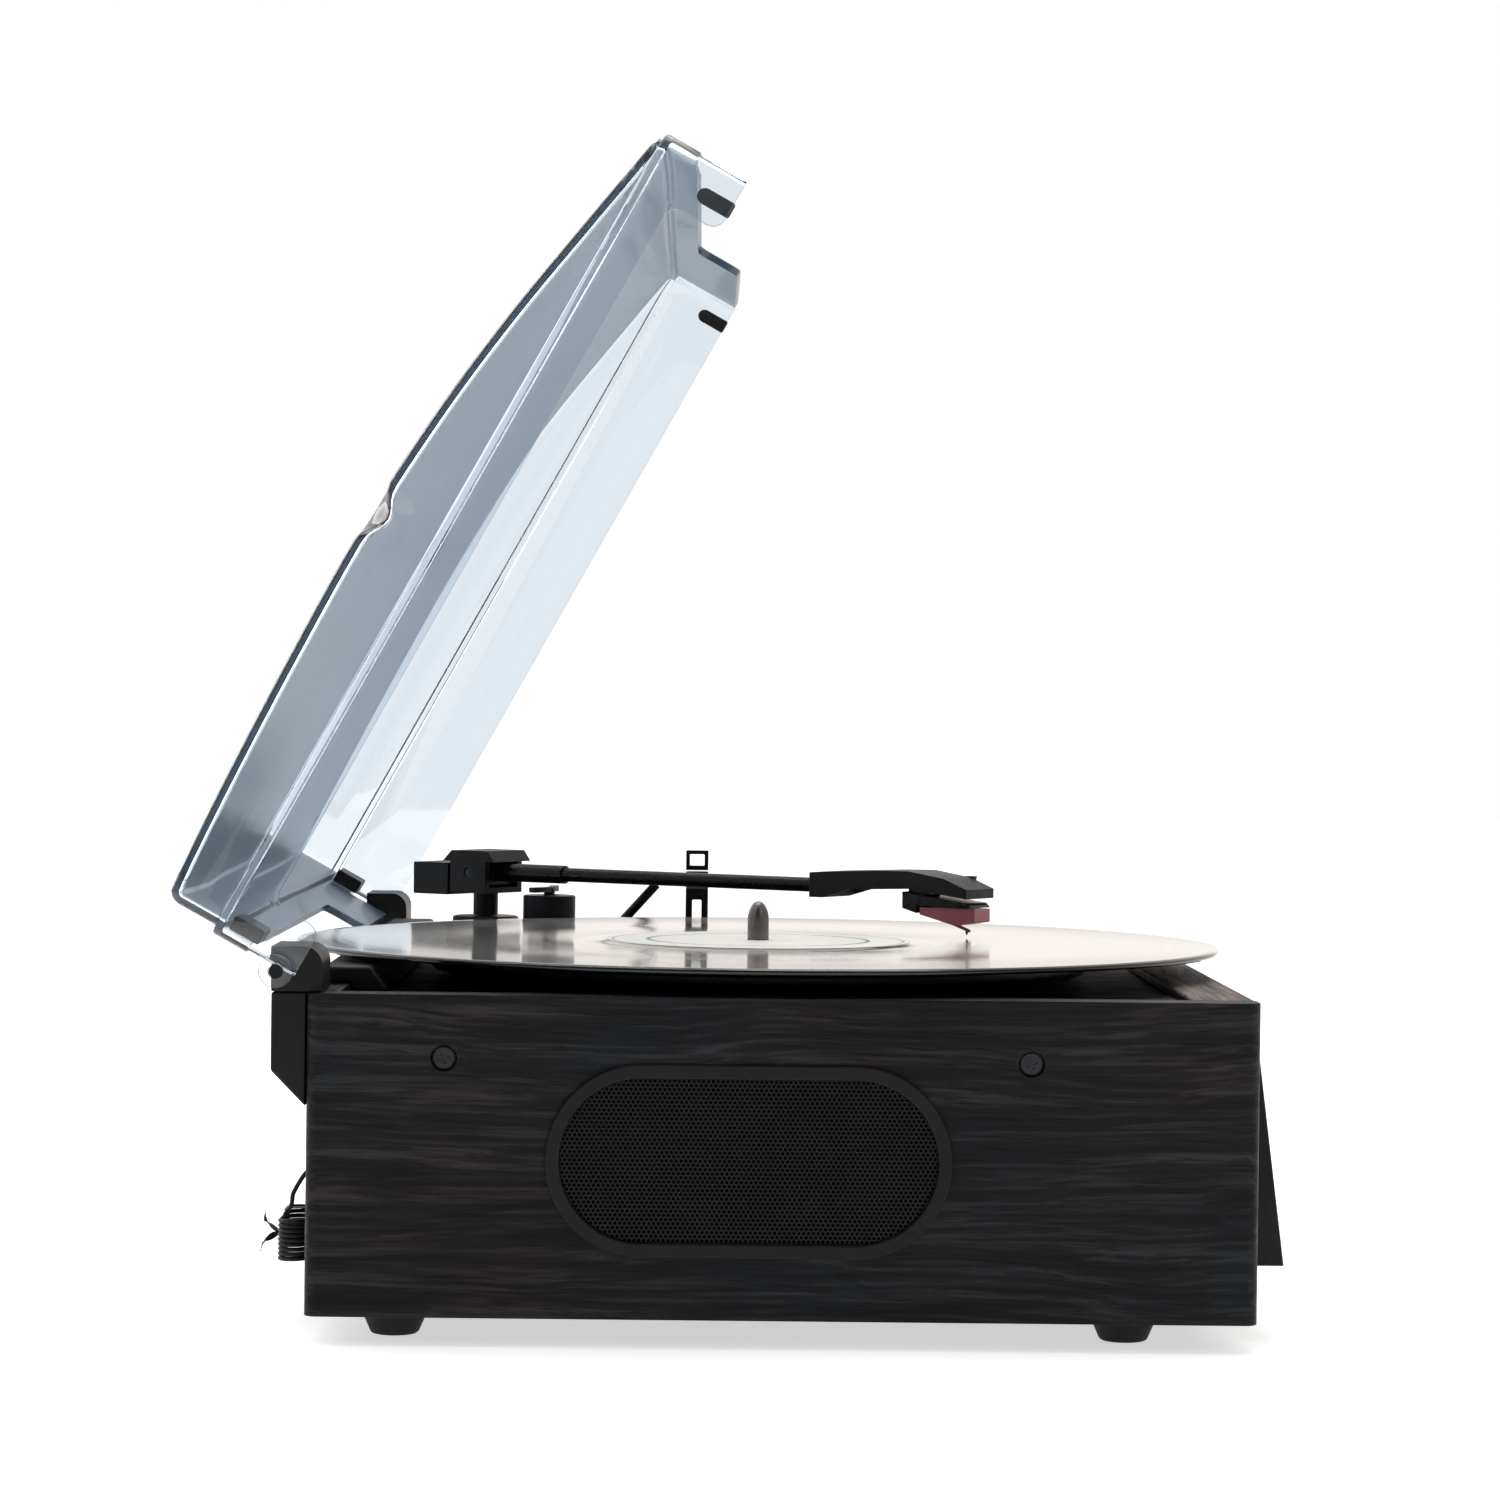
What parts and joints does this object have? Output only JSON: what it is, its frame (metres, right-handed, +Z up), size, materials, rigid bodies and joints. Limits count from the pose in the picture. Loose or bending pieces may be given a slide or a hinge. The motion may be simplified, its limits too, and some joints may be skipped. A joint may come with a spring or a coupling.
{
  "type": "turntable record player",
  "caption": "Wood-cased record player with side speakers, belt-driven platter, straight tonearm with cue lift, sloping front console and clear hinged lid.",
  "frame": {"origin": "on the standing surface, under the middle of the player with its lid open and without its free aerial wire", "axes": "+X to the listener's right, -Y to the front where the controls are, +Z up"},
  "size_m": [0.3832, 0.3316, 0.3562],
  "materials": {
    "wood": "open-grain black veneer, satin",
    "black_plastic": "fine moulded texture, satin",
    "deck": "smooth satin black",
    "rubber": "matte",
    "grille": "black perforated sheet",
    "driver": "black paper cone on a pressed frame",
    "steel": "turned, bright",
    "vinyl": "grooved gloss black with a pale paper label",
    "clear_lid": "polished clear smoke-grey",
    "stylus_red": "translucent red",
    "window": "polished dark window",
    "board": "green solder mask",
    "wire": "satin black sleeve"
  },
  "bodies": {
    "cabinet": {"left_side_panel": "wood", "right_side_panel": "wood", "front_board": "wood", "back_panel": "wood", "bottom_panel": "wood", "deck_board": "deck", "rear_ledge": "deck", "front_left_foot": "rubber", "front_right_foot": "rubber", "rear_left_foot": "rubber", "rear_right_foot": "rubber", "left_speaker_bezel": "black_plastic", "left_speaker_grille": "grille", "left_speaker_driver": "driver", "right_speaker_bezel": "black_plastic", "right_speaker_grille": "grille", "right_speaker_driver": "driver", "spindle_bearing": "steel", "drive_belt": "rubber", "motor": "steel", "left_hinge_body": "black_plastic", "left_hinge_socket": "black_plastic", "right_hinge_body": "black_plastic", "right_hinge_socket": "black_plastic", "arm_pedestal": "black_plastic", "lift_cylinder": "black_plastic", "cue_lever_mount": "black_plastic", "arm_rest": "black_plastic", "display_window": "window", "console_shell": "black_plastic", "jack_plate": "black_plastic", "circuit_board": "board", "aerial_wire": "wire", "aerial_hank": "wire"},
    "turning_platter": {"platter": "deck", "platter_mat": "rubber", "record": "vinyl", "spindle": "steel"},
    "pulley": {"motor_pulley": "steel"},
    "arm_turret": {"arm_yoke": "black_plastic", "arm_pivot_pin": "steel"},
    "arm": {"arm_tube": "black_plastic", "arm_counterweight": "black_plastic", "headshell": "black_plastic", "cartridge": "black_plastic", "stylus": "stylus_red"},
    "cue_lift": {"lift_bar": "black_plastic"},
    "cue_handle": {"cue_lever": "black_plastic"},
    "rest_clip": {"arm_clip": "black_plastic"},
    "lid": {"dust_lid": "clear_lid", "left_lid_bumper": "rubber", "right_lid_bumper": "rubber", "left_hinge_leaf": "black_plastic", "right_hinge_leaf": "black_plastic"},
    "power_key": {"power_button": "black_plastic"},
    "source_key": {"source_button": "black_plastic"},
    "tune_down_key": {"tune_down_button": "black_plastic"},
    "tune_up_key": {"tune_up_button": "black_plastic"},
    "speed_slider": {"speed_switch": "black_plastic"},
    "autostop_slider": {"autostop_switch": "black_plastic"}
  },
  "joints": [
    {"name": "lid_hinge", "type": "hinge", "parent": "cabinet", "child": "lid", "pos_m": [0, 0.13487, 0.1094], "axis": [-1, 0, 0], "range_deg": [-61, 0]},
    {"name": "platter_spin", "type": "hinge", "parent": "cabinet", "child": "turning_platter", "pos_m": [-0.04, -0.00823, 0.105], "axis": [0, 0, -1], "continuous": true},
    {"name": "pulley_spin", "type": "hinge", "parent": "cabinet", "child": "pulley", "pos_m": [-0.10616, 0.02997, 0.099], "axis": [0, 0, -1], "continuous": true},
    {"name": "arm_swing", "type": "hinge", "parent": "cabinet", "child": "arm_turret", "pos_m": [0.11402, 0.08929, 0.115], "axis": [0, 0, 1], "range_deg": [-6, 40.5]},
    {"name": "arm_lift", "type": "hinge", "parent": "arm_turret", "child": "arm", "pos_m": [0.11402, 0.08929, 0.127], "axis": [-0.8221, 0.5693, 0], "range_deg": [0, 0.75]},
    {"name": "cue_lever_tilt", "type": "hinge", "parent": "cabinet", "child": "cue_handle", "pos_m": [0.13102, 0.04329, 0.1045], "axis": [-1, 0, 0], "range_deg": [0, 45]},
    {"name": "cue_lift_rise", "type": "slide", "parent": "cabinet", "child": "cue_lift", "axis": [0, 0, 1], "range_m": [0, 0.0015]},
    {"name": "rest_clip_tilt", "type": "hinge", "parent": "cabinet", "child": "rest_clip", "pos_m": [0.12656, 0.01219, 0.1282], "axis": [0, -1, 0], "range_deg": [0, 38]},
    {"name": "power_press", "type": "slide", "parent": "cabinet", "child": "power_key", "axis": [0, 0.9919, -0.1266], "range_m": [0, 0.001], "stiffness_N_per_m": 300},
    {"name": "source_press", "type": "slide", "parent": "cabinet", "child": "source_key", "axis": [0, 0.9919, -0.1266], "range_m": [0, 0.001], "stiffness_N_per_m": 300},
    {"name": "tune_down_press", "type": "slide", "parent": "cabinet", "child": "tune_down_key", "axis": [0, 0.9919, -0.1266], "range_m": [0, 0.001], "stiffness_N_per_m": 300},
    {"name": "tune_up_press", "type": "slide", "parent": "cabinet", "child": "tune_up_key", "axis": [0, 0.9919, -0.1266], "range_m": [0, 0.001], "stiffness_N_per_m": 300},
    {"name": "speed_slide", "type": "slide", "parent": "cabinet", "child": "speed_slider", "axis": [0, 1, 0], "range_m": [0, 0.005]},
    {"name": "autostop_slide", "type": "slide", "parent": "cabinet", "child": "autostop_slider", "axis": [0, 1, 0], "range_m": [0, 0.005]}
  ],
  "couplings": [
    {"joint": "pulley_spin", "follows": "platter_spin", "ratio": 10.667},
    {"joint": "arm_lift", "follows": "cue_lever_tilt", "ratio": 0.0166},
    {"joint": "cue_lift_rise", "follows": "cue_lever_tilt", "m_per_rad": 0.0019}
  ]
}
